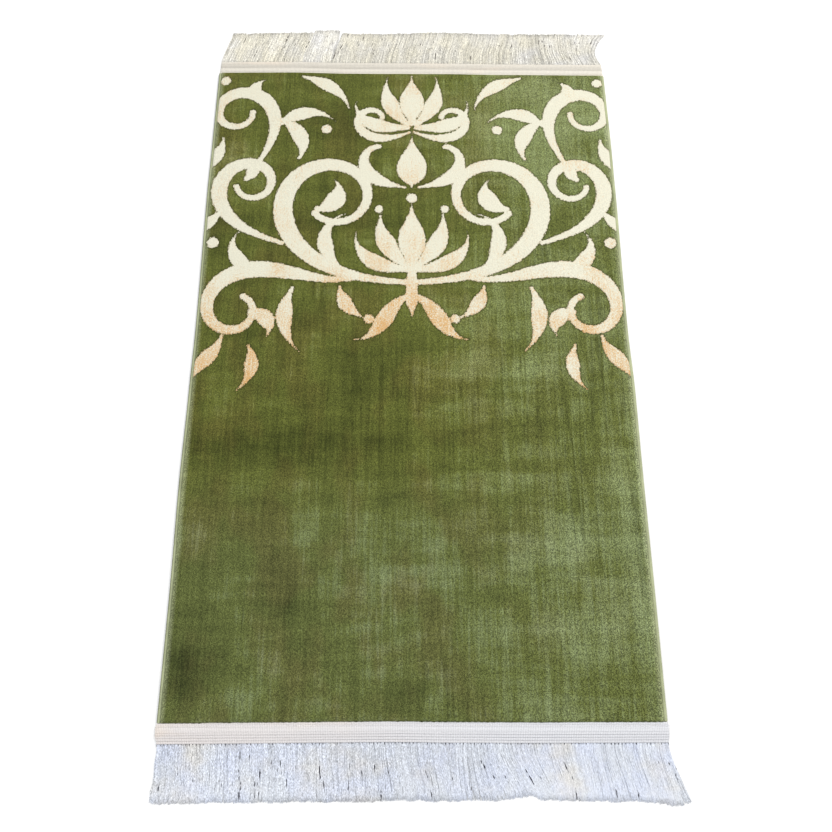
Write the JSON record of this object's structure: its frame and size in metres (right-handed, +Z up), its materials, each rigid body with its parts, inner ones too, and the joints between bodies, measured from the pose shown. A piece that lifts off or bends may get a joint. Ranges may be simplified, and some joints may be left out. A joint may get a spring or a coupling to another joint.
{
  "type": "prayer rug",
  "caption": "Flat rectangular cut-pile prayer rug with corded side bindings and a woven, fringed heading tape at each end, lying open on a floor.",
  "frame": {"origin": "centre of the flat underside, on the floor", "axes": "+X to the right side of the rug, +Y to its far (head) end, +Z up out of the pile"},
  "size_m": [0.7168, 1.3075, 0.0084],
  "materials": {
    "pile": "short cut pile of fine synthetic yarn, olive green with a cream and peach design at the far end",
    "binding": "overcast cord of pale sage yarn",
    "tape": "plain woven off-white tape with four corded ribs",
    "fringe": "fine off-white polyester yarn with a slight sheen"
  },
  "bodies": {
    "root": {"pile_rug": "pile", "binding_left": "binding", "binding_right": "binding", "tape_near": "tape", "tape_far": "tape", "fringe_near": "fringe", "fringe_far": "fringe"}
  },
  "joints": []
}
